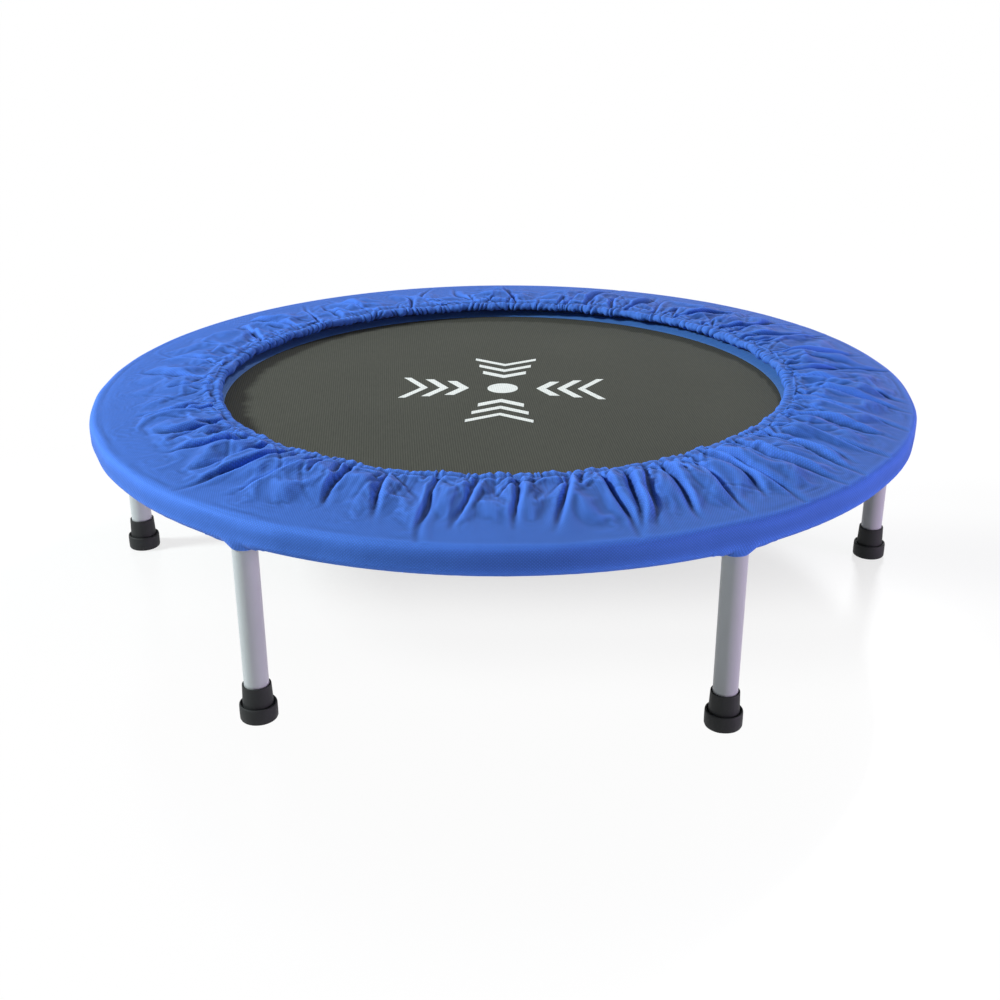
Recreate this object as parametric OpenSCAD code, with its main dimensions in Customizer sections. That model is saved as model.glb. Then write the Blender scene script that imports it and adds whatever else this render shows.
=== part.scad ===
// Round mini trampoline: a steel ring on six screw-on legs, a sprung jump mat and a
// gathered fabric cover over a foam pad. Millimetres, +Z up, origin on the floor
// under the centre of the ring.

/* [Frame ring] */
// Radius of the ring tube's centre line
ring_r = 463; // [380:1:620]
// Outer diameter of the ring tube
ring_tube_d = 25; // [22:0.5:30]
// Wall of the ring tube
ring_wall = 1.5; // [1:0.1:2.5]
// Height of the ring's centre line above the floor
ring_z = 212.6; // [180:0.1:320]

/* [Legs] */
// Outer diameter of a leg tube
leg_d = 25; // [20:0.5:27]
// Wall of a leg tube
leg_wall = 1.5; // [1:0.1:2]
// How far a leg's welded boss reaches down from the ring's centre line
boss_reach = 22.6; // [19:0.1:40]
// Thread diameter of the leg stud
stud_d = 10; // [8:0.5:12]
// Length of stud that stands out below the boss
stud_grip = 22; // [16:1:40]
// Height of the threaded insert pressed into a leg's top
insert_h = 26; // [20:1:44]

/* [Rubber feet] */
// Diameter of a foot's wide base
foot_base_d = 38; // [34:0.5:60]
// Height of a foot's wide base
foot_base_h = 17.5; // [10:0.5:24]
// Diameter of a foot's cuff where it leaves the base
cuff_low_d = 31; // [30:0.5:33]
// Diameter of a foot's cuff at its top
cuff_top_d = 29; // [28.5:0.1:30]
// Height of a foot's cuff above the base
cuff_h = 21.5; // [10:0.5:40]
// Thickness of rubber under the leg tube's end
foot_sole = 7; // [4:0.5:9]
// Rounding of the edges of a foot's base
foot_edge_r = 2.5; // [1:0.5:4]

/* [Springs] */
// Number of springs around the ring
spring_count = 36; // [24:6:42]
// Outer diameter of a spring's coil
spring_d = 9.5; // [8:0.5:11]
// Diameter of the spring wire
spring_wire = 2.6; // [2:0.1:3]
// Length of a spring's coil at rest
coil_len = 70; // [50:1:90]
// Straight wire between a spring's coil and the ring
hook_neck = 6; // [4:0.5:12]
// Bend radius of a spring's hooks, on the wire's centre line
hook_bend = 4; // [4:0.1:4.4]

/* [Wire rings on the mat] */
// Wire diameter of a triangular ring
vring_wire = 3.5; // [3:0.1:3.6]
// Bend radius at the corners of a triangular ring
vring_bend = 4; // [4:0.5:6]
// Depth of a triangular ring, from its bar to its tip
vring_depth = 28; // [24:1:40]
// Length of a triangular ring's bar between its corner bends
vring_bar = 30; // [16:1:32]

/* [Jump mat] */
// Thickness of the mat
mat_t = 1.4; // [0.8:0.1:2.5]
// How far the mat reaches past the bars of the triangular rings
mat_lap = 8; // [4:0.5:12]
// Width of the blue band sewn on the mat's edge
band_w = 17; // [10:1:30]
// Thickness of the blue band
band_t = 0.8; // [0.5:0.1:1.5]
// Thickness of the webbing sewn under the mat's edge
web_t = 1.2; // [0.8:0.1:2]

/* [Cover and pad] */
// Thickness of the cover's cloth, with its lining
cover_t = 1.2; // [1:0.1:1.6]
// How far the cover reaches in over the mat
cover_lap = 24; // [16:1:60]
// Height of the gathered edge above the ring's centre line
edge_rise = 22; // [20:0.5:30]
// Height of the folds in the gathered cloth
pleat_h = 3; // [0:0.5:6]
// Number of main folds around the cover
pleats = 22; // [12:2:22]
// Thickness of foam between the ring and the cover's side
pad_side_t = 4.5; // [3:0.5:10]
// Drop of the cover's hem over the top of each leg
collar_drop = 7.5; // [0:0.5:12]
// Width of cover pulled down beside each leg, as an angle around the ring
collar_half_angle = 4; // [2:0.5:8]
// Diameter of the elastic in the gathered edge
elastic_d = 3; // [2:0.1:3]
// Diameter of the elastic in the hem
hem_elastic_d = 2.2; // [1.5:0.1:2.2]

/* [Hidden] */
$fn = 96;

leg_count = 6;
// direction of leg 1, at the front left
first_leg_angle = 240;
// clearances: between soft or curved faces, press fit, thread, and play round a hook
seat_gap = 0.3;
press_gap = 0.05;
thread_gap = 0.15;
hook_play = 0.4;
// small overcut, so that no cut ends flush with a face
over = 1;

// ring and its spring holes
ring_tube_r = ring_tube_d / 2;
ring_in_r = ring_r - ring_tube_r;
ring_hole_d = spring_wire + 2 * hook_play;
hook_reach = ring_wall + hook_bend + spring_wire;
hook_tip = 2;

// legs
boss_bottom = ring_z - boss_reach;
boss_top = ring_z - ring_tube_r * 0.69;
stud_seat = ring_tube_r + 1.5;
stud_top = ring_z - stud_seat - 1;
stud_chamfer = 1;
leg_in_d = leg_d - 2 * leg_wall;
tread_r = foot_base_d * 0.3;
tread_w = 1.5;
tread_depth = 1;

// springs, from the ring in to the wire rings
coil_out = ring_in_r - hook_neck;
coil_in = coil_out - coil_len;
loop_c = coil_in - hook_bend;
spring_step = 360 / spring_count;

// wire rings: tip and bar, then the centres of their corner bends
vring_tip = loop_c - hook_bend + spring_wire / 2 + seat_gap + vring_wire / 2;
bar_r = vring_tip - vring_depth;
vring_run = vring_depth - 2 * vring_bend;
vring_side = norm([vring_run, vring_bar / 2]);
vring_lean = atan2(vring_bar / 2, vring_run);
bend_swell = 0.1;
bend_tuck = 0.5;

// mat, band and webbing
mat_r = bar_r + mat_lap;
mat_low = ring_z + vring_wire / 2 + hook_play;
mat_top = mat_low + mat_t;
web_top = ring_z - vring_wire / 2 - seat_gap;
web_sewn = 8;
web_slope = 3;
web_in = bar_r - 2 * web_sewn + web_slope;
web_out = mat_r - 1;

// cover: gathered edge, top over the ring, side and hem
edge_r = mat_r - cover_lap;
edge_z = ring_z + edge_rise;
lip_len = 9;
lip_h = 7;
pad_min = 1;
rim_z = ring_z + ring_tube_r + seat_gap + pad_min + seat_gap + cover_t;
sections = 3 * pleats;
// the cover's side clears both the ring and the legs under it
inner_side_r = ring_r + max(ring_tube_r, leg_d / 2);
// how far a chord between two sections lies inside its true circle
sag = inner_side_r * (1 - cos(180 / sections));
side_in_r = inner_side_r + seat_gap + pad_side_t + seat_gap + sag;
side_r = side_in_r + cover_t;
crease_in = 4;
crease_drop = 1.4;
crease_in_r = side_r - crease_in - cover_t * 0.6;
shoulder_z = ring_z + ring_tube_r * 0.55;
side_low_z = ring_z - ring_tube_r * 0.5;
hem_z = ring_z - ring_tube_r - 2.6;
hem_r = inner_side_r + seat_gap * 4 + sag;

// foam pad
pad_in = mat_r + 2;
pad_low = ring_z + max(spring_d / 2, ring_hole_d / 2, hook_bend + spring_wire / 2) + seat_gap;
pad_flat = 10;
pad_side_low = max(boss_top, side_low_z) + 2 * seat_gap;
pad_out = side_in_r - seat_gap - sag;
crest_z = edge_z - cover_t;

function leg_angle(n) = first_leg_angle + (n - 1) * 360 / leg_count;

// height of a point on the cloth's line between the gathered edge and the rim
function slope_z(r, z_in, z_out) =
    z_in + (z_out - z_in) * (r - edge_r) / (ring_r - edge_r);

// fold height at an angle, highest on the fold's crest
function fold(a) = pleat_h * (1 + cos(a * pleats)) / 2;

// share of the full collar drop at an angle, 1 at each leg
function near_leg(a) =
    let (step = 360 / leg_count, off = abs((a + step / 2) % step - step / 2))
    exp(-pow(off / collar_half_angle, 2));

// the cover's closed section at an angle: its face from lip to hem, then its back
function cover_section(a) =
    let (f = fold(a), d = collar_drop * near_leg(a))
    let (mid = pad_in + pad_flat)
    [
        [edge_r + lip_len, edge_z - lip_h],
        [edge_r, edge_z - lip_h / 2],
        [edge_r + lip_len * 0.6, edge_z + f],
        [mid, slope_z(mid, edge_z, rim_z) + f],
        [ring_r, rim_z + f * 0.1],
        [side_r - crease_in, rim_z - crease_drop],
        [side_r, shoulder_z],
        [side_r, side_low_z - d * 0.4],
        [hem_r, hem_z - d],
        [hem_r + cover_t * 0.3, hem_z - d + cover_t],
        [side_in_r, side_low_z - d * 0.4],
        [side_in_r, shoulder_z - cover_t * 0.4],
        [crease_in_r, rim_z - crease_drop - cover_t],
        [ring_r, rim_z - cover_t],
        [mid, slope_z(mid, edge_z, rim_z) - cover_t + f],
        [edge_r + lip_len * 0.6, edge_z - cover_t + f * 0.7],
        [edge_r + cover_t * 1.4, edge_z - lip_h / 2],
        [edge_r + lip_len, edge_z - lip_h + cover_t]
    ];

module radial(a) {
    rotate([0, 0, a]) children();
}

module at_leg(n) {
    radial(leg_angle(n)) translate([ring_r, 0, 0]) children();
}

// straight wire of diameter d and length h along X
module wire(d, h) {
    rotate([0, 90, 0]) cylinder(d = d, h = h);
}

// bent wire in the XY plane: centre-line radius r, from angle a0 through sweep
module bend(r, d, a0, sweep) {
    rotate([0, 0, a0])
        rotate_extrude(angle = sweep) translate([r, 0]) circle(d = d, $fn = 32);
}

module torus(r, d) {
    rotate_extrude() translate([r, 0]) circle(d = d, $fn = 48);
}

module frame_ring() {
    color("silver")
    difference() {
        translate([0, 0, ring_z])
            rotate_extrude() translate([ring_r, 0]) difference() {
                circle(d = ring_tube_d);
                circle(d = ring_tube_d - 2 * ring_wall);
            }
        for (i = [0 : spring_count - 1])
            radial((i + 0.5) * spring_step)
                translate([ring_in_r - over, 0, ring_z])
                    wire(ring_hole_d, ring_wall + 2 * over);
    }
}

module leg_boss(n) {
    color("silver")
    difference() {
        at_leg(n) translate([0, 0, boss_bottom])
            cylinder(d = leg_d, h = boss_top - boss_bottom);
        translate([0, 0, ring_z]) torus(ring_r, ring_tube_d + 2 * press_gap);
        at_leg(n) translate([0, 0, boss_bottom - over])
            cylinder(d = stud_d + 2 * press_gap, h = stud_top - boss_bottom + over);
    }
}

module leg_studs() {
    color("gainsboro")
    for (n = [1 : leg_count])
        at_leg(n) translate([0, 0, boss_bottom - stud_grip]) {
            cylinder(d1 = stud_d - 2 * stud_chamfer, d2 = stud_d, h = stud_chamfer);
            translate([0, 0, stud_chamfer])
                cylinder(d = stud_d, h = stud_top - boss_bottom + stud_grip - stud_chamfer);
        }
}

// one spring along X from its coil's inner end: loop for a wire ring, coil, hook in the ring
module spring() {
    hook_run = hook_neck + hook_reach - hook_bend;
    translate([-hook_bend, 0, 0]) rotate([90, 0, 0]) torus(hook_bend, spring_wire);
    wire(spring_d, coil_len);
    translate([coil_len - over, 0, 0]) wire(spring_wire, hook_run + over);
    translate([coil_len + hook_run, 0, -hook_bend]) {
        rotate([90, 0, 0]) bend(hook_bend, spring_wire, 0, 90);
        translate([hook_bend, 0, -hook_tip]) cylinder(d = spring_wire, h = hook_tip);
    }
}

module springs() {
    color("lightsteelblue")
    for (i = [0 : spring_count - 1])
        radial((i + 0.5) * spring_step) translate([coil_in, 0, ring_z]) spring($fn = 32);
}

// one triangular ring in the XY plane, its tip's bend centred on the origin; the
// straight wires run a little way into the bends, which are swollen by the bending
module v_ring() {
    bend_wire = vring_wire + bend_swell;
    bend(vring_bend, bend_wire, vring_lean - 90, 180 - 2 * vring_lean);
    translate([-vring_run - vring_bend, -vring_bar / 2 - bend_tuck, 0])
        rotate([-90, 0, 0]) cylinder(d = vring_wire, h = vring_bar + 2 * bend_tuck);
    for (side = [0, 1])
        mirror([0, side, 0]) translate([-vring_run, vring_bar / 2, 0]) {
            bend(vring_bend, bend_wire, 90 - vring_lean, 90 + vring_lean);
            rotate([0, 0, -vring_lean]) translate([-bend_tuck, vring_bend, 0])
                wire(vring_wire, vring_side + 2 * bend_tuck);
        }
}

module v_rings() {
    color("lightgray")
    for (i = [0 : spring_count - 1])
        radial((i + 0.5) * spring_step)
            translate([vring_tip - vring_bend, 0, ring_z]) v_ring($fn = 32);
}

module jump_mat() {
    color([0.3, 0.3, 0.28])
    translate([0, 0, mat_low]) cylinder(r = mat_r, h = mat_t, $fn = 180);
}

module mat_edge_band() {
    color([0.1, 0.35, 0.75])
    rotate_extrude($fn = 180)
        translate([mat_r - band_w, mat_top]) square([band_w, band_t]);
}

module edge_webbing() {
    color([0.12, 0.12, 0.13])
    rotate_extrude($fn = 180) polygon([
        [web_in, mat_low],
        [web_in + web_sewn, mat_low],
        [bar_r - web_slope, web_top],
        [web_out, web_top],
        [web_out, web_top - web_t],
        [bar_r - web_slope - web_t / 2, web_top - web_t],
        [web_in + web_sewn - web_t / 2, mat_low - web_t],
        [web_in, mat_low - web_t]
    ]);
}

module foam_pad() {
    color([0.85, 0.85, 0.82])
    rotate_extrude($fn = 180) difference() {
        polygon([
            [pad_in, pad_low],
            [pad_in, slope_z(pad_in, crest_z, rim_z - cover_t) - 2 * seat_gap],
            [pad_in + pad_flat,
                slope_z(pad_in + pad_flat, crest_z, rim_z - cover_t) - 2 * seat_gap],
            [ring_r, rim_z - cover_t - seat_gap],
            [crease_in_r - sag - seat_gap, rim_z - crease_drop - cover_t - seat_gap],
            [pad_out, shoulder_z - cover_t],
            [pad_out, pad_side_low],
            [ring_r + ring_tube_r * 0.72, pad_side_low],
            [ring_r, ring_z],
            [ring_in_r, pad_low]
        ]);
        translate([ring_r, ring_z]) circle(d = ring_tube_d + 2 * seat_gap);
    }
}

module cover() {
    points = [
        for (i = [0 : sections - 1])
            let (a = i * 360 / sections)
            for (p = cover_section(a)) [p[0] * cos(a), p[0] * sin(a), p[1]]
    ];
    m = len(cover_section(0));
    faces = [
        for (i = [0 : sections - 1])
            for (j = [0 : m - 1])
                let (k = (i + 1) % sections, l = (j + 1) % m)
                for (t = [[i * m + j, i * m + l, k * m + l], [i * m + j, k * m + l, k * m + j]])
                    t
    ];
    color([0.22, 0.42, 0.8])
    polyhedron(points = points, faces = faces);
}

module cover_inner_elastic() {
    color("white")
    translate([0, 0, edge_z - lip_h / 2]) torus(edge_r + lip_len * 0.9, elastic_d);
}

module cover_hem_elastic() {
    color("white")
    translate([0, 0, side_low_z - hem_elastic_d - cover_t])
        torus(hem_r + seat_gap, hem_elastic_d);
}

module leg_tube(n) {
    color([0.67, 0.68, 0.72])
    at_leg(n) translate([0, 0, foot_sole])
        difference() {
            cylinder(d = leg_d, h = boss_bottom - foot_sole);
            translate([0, 0, -over])
                cylinder(d = leg_in_d, h = boss_bottom - foot_sole + 2 * over);
        }
}

module leg_insert(n) {
    color("gainsboro")
    at_leg(n) translate([0, 0, boss_bottom - insert_h])
        difference() {
            cylinder(d = leg_in_d - 2 * press_gap, h = insert_h);
            translate([0, 0, -over])
                cylinder(d = stud_d + 2 * thread_gap, h = insert_h + 2 * over);
        }
}

module rubber_foot(n) {
    base_r = foot_base_d / 2;
    color([0.13, 0.13, 0.14])
    at_leg(n)
        difference() {
            union() {
                rotate_extrude() {
                    square([base_r - foot_edge_r, foot_base_h]);
                    translate([0, foot_edge_r])
                        square([base_r, foot_base_h - 2 * foot_edge_r]);
                    for (z = [foot_edge_r, foot_base_h - foot_edge_r])
                        intersection() {
                            translate([base_r - foot_edge_r, z])
                                circle(r = foot_edge_r, $fn = 32);
                            square([base_r, foot_base_h]);
                        }
                }
                translate([0, 0, foot_base_h])
                    cylinder(d1 = cuff_low_d, d2 = cuff_top_d, h = cuff_h);
            }
            translate([0, 0, foot_sole])
                cylinder(d = leg_d + 2 * press_gap, h = foot_base_h + cuff_h);
            translate([0, 0, -over])
                difference() {
                    cylinder(r = tread_r, h = over + tread_depth);
                    cylinder(r = tread_r - tread_w, h = over + tread_depth);
                }
        }
}

frame_ring();
leg_studs();
springs();
jump_mat();
mat_edge_band();
edge_webbing();
v_rings();
foam_pad();
cover();
cover_inner_elastic();
cover_hem_elastic();
leg_boss(1);  // leg_boss_1
leg_boss(2);  // leg_boss_2
leg_boss(3);  // leg_boss_3
leg_boss(4);  // leg_boss_4
leg_boss(5);  // leg_boss_5
leg_boss(6);  // leg_boss_6
leg_tube(1);  // leg_tube_1
leg_tube(2);  // leg_tube_2
leg_tube(3);  // leg_tube_3
leg_tube(4);  // leg_tube_4
leg_tube(5);  // leg_tube_5
leg_tube(6);  // leg_tube_6
leg_insert(1);  // leg_insert_1
leg_insert(2);  // leg_insert_2
leg_insert(3);  // leg_insert_3
leg_insert(4);  // leg_insert_4
leg_insert(5);  // leg_insert_5
leg_insert(6);  // leg_insert_6
rubber_foot(1);  // rubber_foot_1
rubber_foot(2);  // rubber_foot_2
rubber_foot(3);  // rubber_foot_3
rubber_foot(4);  // rubber_foot_4
rubber_foot(5);  // rubber_foot_5
rubber_foot(6);  // rubber_foot_6
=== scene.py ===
import math

import bpy
import numpy as np
from mathutils import Matrix, Vector


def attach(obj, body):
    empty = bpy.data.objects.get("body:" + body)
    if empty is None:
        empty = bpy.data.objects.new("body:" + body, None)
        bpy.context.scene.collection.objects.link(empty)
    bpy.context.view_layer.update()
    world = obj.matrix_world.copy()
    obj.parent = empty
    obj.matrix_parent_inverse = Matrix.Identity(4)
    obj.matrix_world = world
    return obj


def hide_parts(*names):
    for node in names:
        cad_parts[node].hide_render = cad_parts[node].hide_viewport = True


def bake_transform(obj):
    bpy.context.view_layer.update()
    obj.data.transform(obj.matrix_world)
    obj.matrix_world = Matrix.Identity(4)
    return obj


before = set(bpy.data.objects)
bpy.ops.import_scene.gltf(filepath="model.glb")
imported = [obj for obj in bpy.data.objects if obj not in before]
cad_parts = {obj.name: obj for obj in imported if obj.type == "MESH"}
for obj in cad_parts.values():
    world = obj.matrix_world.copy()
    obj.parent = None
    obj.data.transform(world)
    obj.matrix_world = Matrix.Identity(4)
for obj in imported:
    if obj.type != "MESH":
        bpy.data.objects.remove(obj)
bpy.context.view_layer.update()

print("frame loaded:", len(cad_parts), "nodes")

fullTurn = 2 * math.pi
legAngles = [math.radians(240 + 60 * n) for n in range(6)]
legR = 0.463                 # how far out the legs stand
springCount = 36


def mix(a, b, t):
    return a + (b - a) * t


def ease(t):
    t = np.clip(t, 0, 1)
    return t * t * (3 - 2 * t)


def softNoise(angles, low, high, seed):
    # a smooth random wave round the circle, about 1 high
    draw = np.random.default_rng(seed)
    total = np.zeros_like(angles)
    for k in range(low, high + 1):
        total += draw.normal() * np.cos(k * angles + draw.uniform(0, fullTurn))
    return total / math.sqrt((high - low + 1) / 2) / 1.4


def roundAngles(count):
    return np.arange(count) * fullTurn / count


def roundGrid(radius, angles, height, middle=(0, 0)):
    # points round the upright line through middle
    return np.stack(np.broadcast_arrays(middle[0] + radius * np.cos(angles),
                                        middle[1] + radius * np.sin(angles), height), -1)


def addObject(name, data):
    thing = bpy.data.objects.new(name, data)
    bpy.context.scene.collection.objects.link(thing)
    return thing


def addPiece(name, points, faces, finish, smooth=True):
    mesh = bpy.data.meshes.new(name)
    mesh.from_pydata(np.asarray(points, float).tolist(), [], faces)
    mesh.update()
    mesh.polygons.foreach_set("use_smooth", [smooth] * len(mesh.polygons))
    mesh.materials.append(finishes[finish])
    piece = addObject(name, mesh)
    return piece


def addClothMap(piece, uv):
    # where each corner lies on the flat cloth, in metres
    layer = piece.data.uv_layers.new(name="cloth")
    layer.uv.foreach_set("vector", uv.astype(np.float32).ravel())


def gridPiece(name, grid, finish, uWidth, vSteps, closeRows=False, flip=False):
    # grid is rows x columns x 3, closed round its columns
    rows, columns = grid.shape[:2]
    row, col = np.meshgrid(np.arange(rows if closeRows else rows - 1), np.arange(columns),
                           indexing="ij")
    row, col = row.ravel(), col.ravel()
    rowUp, colUp = row + 1, col + 1
    corners = [(row, col), (rowUp, col), (rowUp, colUp), (row, colUp)]
    if flip:
        corners = corners[::-1]
    faces = np.stack([(r % rows) * columns + c % columns for r, c in corners], -1)
    piece = addPiece(name, grid.reshape(-1, 3), faces.tolist(), finish)
    vSteps = np.append(vSteps, vSteps[-1] + (vSteps[-1] - vSteps[-2]))
    addClothMap(piece, np.stack([np.stack([c * uWidth / columns, vSteps[r]], -1)
                                 for r, c in corners], 1))
    return piece


def ringSection(name, section, columns, finish, wobble):
    # a closed section, (r, z) pairs, turned round the middle
    section = np.array(section, float)
    angles = roundAngles(columns)
    radius, height = wobble(angles, np.repeat(section[:, :1], columns, 1),
                            np.repeat(section[:, 1:], columns, 1))
    steps = np.hypot(*np.diff(section, axis=0).T)
    return gridPiece(name, roundGrid(radius, angles, height), finish,
                     fullTurn * section[:, 0].mean(), np.concatenate([[0], np.cumsum(steps)]),
                     closeRows=True)


def tubePoints(path, radius, sides, squash=1.0):
    # a tube along the points of path, with its frame carried along
    path = np.array(path, float)
    widths = np.broadcast_to(radius, len(path))
    ahead = np.gradient(path, axis=0)
    ahead /= np.linalg.norm(ahead, axis=1)[:, None]
    side = np.cross(ahead[0], (0, 0, 1.0))
    if np.linalg.norm(side) < 1e-3:
        side = np.cross(ahead[0], (0, 1.0, 0))
    turns = roundAngles(sides)[:, None]
    points = np.zeros((len(path), sides, 3))
    for i, middle in enumerate(path):
        side = side - ahead[i] * side.dot(ahead[i])
        side /= np.linalg.norm(side)
        up = np.cross(side, ahead[i])
        points[i] = middle + widths[i] * (np.cos(turns) * side + squash * np.sin(turns) * up)
    return points


def tubeFaces(count, sides, start=0):
    # a tube of count rings of points with closed ends; its first point has the number start
    faces = []
    for i in range(count - 1):
        row = start + i * sides
        for j in range(sides):
            k = (j + 1) % sides
            faces.append([row + j, row + k, row + sides + k, row + sides + j])
    faces.append([start + j for j in range(sides)][::-1])
    faces.append([start + (count - 1) * sides + j for j in range(sides)])
    return faces


def cappedGrid(grid, first, last):
    # rows round an axis, closed by two points on it, which come after the grid's own
    rows, columns = grid.shape[:2]
    end = (rows - 1) * columns
    faces = []
    for j in range(columns):
        k = (j + 1) % columns
        faces.append([rows * columns, k, j])
        faces.append([rows * columns + 1, end + j, end + k])
        for i in range(0, end, columns):
            faces.append([i + j, i + k, i + columns + k, i + columns + j])
    return [*grid.reshape(-1, 3).tolist(), first, last], faces


def turnedPiece(name, profile, middle, finish, columns, shape):
    # a closed profile of (r, z) pairs from the axis round to the axis again
    profile = np.array(profile, float)
    angles = roundAngles(columns)
    radius, height = shape(angles, np.repeat(profile[1:-1, :1], columns, 1),
                           np.repeat(profile[1:-1, 1:], columns, 1))
    points, faces = cappedGrid(roundGrid(radius, angles, height, middle),
                               [*middle, profile[0][1]], [*middle, profile[-1][1]])
    return addPiece(name, points, faces, finish)


def newFinish(name, colour, roughness, specular=0.5, metallic=0.0, sheen=0.0):
    finish = bpy.data.materials.new(name)
    finish.use_nodes = True
    tree = finish.node_tree
    shader = tree.nodes["Principled BSDF"]
    values = {"Base Color": (*colour, 1), "Roughness": roughness, "Metallic": metallic,
              "Specular IOR Level": specular, "Sheen Weight": sheen}
    for key, value in values.items():
        shader.inputs[key].default_value = value
    return finish, tree, shader


def addNode(tree, kind, values=None, **settings):
    node = tree.nodes.new("ShaderNode" + kind)
    for key, value in settings.items():
        setattr(node, key, value)
    for key, value in (values or {}).items():
        if isinstance(value, bpy.types.NodeSocket):
            tree.links.new(value, node.inputs[key])
        else:
            node.inputs[key].default_value = value
    return node


def calc(tree, operation, a, b):
    return addNode(tree, "Math", {0: a, 1: b}, operation=operation).outputs[0]


def weighted(tree, *parts):
    # the sum of several values, each with its share
    shares = [calc(tree, "MULTIPLY", value, share) for value, share in parts]
    total = shares[0]
    for share in shares[1:]:
        total = calc(tree, "ADD", total, share)
    return total


def waves(tree, place, period, direction, distortion=0.0):
    # a sine band across one axis, 0 to 1, one band for each period
    return addNode(tree, "TexWave", {"Vector": place, "Scale": fullTurn / 20 / period,
                                     "Distortion": distortion},
                   bands_direction=direction).outputs["Fac"]


def noiseAt(tree, place, scale, detail=2.0, roughness=0.5):
    return addNode(tree, "TexNoise", {"Vector": place, "Scale": scale, "Detail": detail,
                                      "Roughness": roughness}).outputs["Fac"]


def mapped(tree, place, change, value):
    # the place with a rotation or a scale of its own
    return addNode(tree, "Mapping", {"Vector": place, change: value}).outputs[0]


def streaks(tree, place, scale, detail):
    return noiseAt(tree, mapped(tree, place, "Scale", scale), 1.0, detail)


def ramp(tree, value, low, high, fromLow=0.0, fromHigh=1.0, bend="LINEAR"):
    return addNode(tree, "MapRange", {"Value": value, "From Min": fromLow, "From Max": fromHigh,
                                      "To Min": low, "To Max": high},
                   interpolation_type=bend).outputs[0]


def shades(tree, shader, value, dark, light):
    blend = addNode(tree, "Mix", {"Factor": value, 6: (*dark, 1), 7: (*light, 1)},
                    data_type="RGBA")
    tree.links.new(blend.outputs[2], shader.inputs["Base Color"])
    return blend


def tints(tree, shader, value, colour, dark, light):
    # shades of one colour
    return shades(tree, shader, value, [c * dark for c in colour],
                  [min(1, c * light) for c in colour])


def roughen(tree, shader, value, low, high):
    tree.links.new(ramp(tree, value, low, high), shader.inputs["Roughness"])


def bumps(tree, shader, height, distance, strength=1.0, under=None):
    node = addNode(tree, "Bump", {"Height": height, "Distance": distance, "Strength": strength})
    if under is not None:
        tree.links.new(under, node.inputs["Normal"])
    tree.links.new(node.outputs[0], shader.inputs["Normal"])
    return node.outputs[0]


def objectPlace(tree):
    return addNode(tree, "TexCoord").outputs["Object"]


clothLook = {
    "colour": (0.061, 0.178, 0.665), "dark": 0.70, "light": 1.22,
    "tone": (0.62, 0.42, 0.22),               # shares of weave, clouds and slubs in the colour
    # painted shade: darkest in the creases, palest on the ridges, by how sharply the cloth bends;
    # the pale ridges also stand for rubbed wear
    "creaseShadeAndWear": (0.42, 1.44, 0.465, 0.535),       # darkest, palest, and the bends they come at
    "roughness": 0.72, "sheen": 0.10, "thread": 0.0022,
    "weave": 0.0002, "crumple": 0.0014,       # depth of each in the surface
    "pleats": 0.0030, "fade": (0.06, 0.15),   # small pleats, and where they fade
}


def clothFinish():
    look = clothLook
    finish, tree, shader = newFinish("coverCloth", look["colour"], look["roughness"], 0.14,
                                     sheen=look["sheen"])
    shader.inputs["Sheen Roughness"].default_value = 0.3
    shader.inputs["Sheen Tint"].default_value = (0.75, 0.55, 1.0, 1)
    place = addNode(tree, "UVMap", uv_map="cloth").outputs[0]
    turned = mapped(tree, place, "Rotation", (0, 0, math.radians(45)))
    warp = waves(tree, turned, look["thread"], "X", 0.4)
    weft = waves(tree, turned, look["thread"], "Y", 0.4)
    weave = calc(tree, "MULTIPLY", warp, weft)
    clouds = noiseAt(tree, objectPlace(tree), 9.0, 3.0)
    slubs = streaks(tree, place, (40, 900, 1), 2.0)
    tone = weighted(tree, *zip((weave, clouds, slubs), look["tone"]))
    blend = tints(tree, shader, tone, look["colour"], look["dark"], look["light"])
    # painted shade by the cloth's bends: creases darker, ridges paler; the paler ridges also stand
    # for rubbed wear
    bendShadeAndRub = ramp(tree, addNode(tree, "NewGeometry").outputs["Pointiness"], *look["creaseShadeAndWear"])
    creaseShadeAndWear = addNode(tree, "Mix", {"Factor": 1.0, 6: blend.outputs[2], 7: bendShadeAndRub},
                   data_type="RGBA", blend_type="MULTIPLY")
    tree.links.new(creaseShadeAndWear.outputs[2], shader.inputs["Base Color"])
    roughen(tree, shader, weave, look["roughness"] + 0.08, look["roughness"] - 0.06)
    fine = bumps(tree, shader, weave, look["weave"], 0.9)
    crumpled = bumps(tree, shader, noiseAt(tree, place, 55.0, 3.0), look["crumple"], 0.6, fine)
    # small pleats that run out from the gathered edge and fade
    out = addNode(tree, "SeparateXYZ", {0: place}).outputs[1]
    pleat = calc(tree, "MULTIPLY", streaks(tree, place, (105, 13, 1), 3.0),
                 ramp(tree, out, 1.0, 0.0, *look["fade"]))
    bumps(tree, shader, pleat, look["pleats"], 0.8, crumpled)
    return finish


matLook = {
    "dark": (0.030, 0.031, 0.0265), "light": (0.104, 0.105, 0.089),
    "rib": 0.0026, "pick": 0.0017, "turn": -7,      # the thread's steps, in metres and degrees
    "tone": (0.34, 0.18, 0.42, 0.16),               # shares of ribs, picks, fray and clouds
    "deep": 0.00035,
}


def matPlace(tree):
    # the ribs run a few degrees askew
    return mapped(tree, objectPlace(tree), "Rotation", (0, 0, math.radians(matLook["turn"])))


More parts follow.
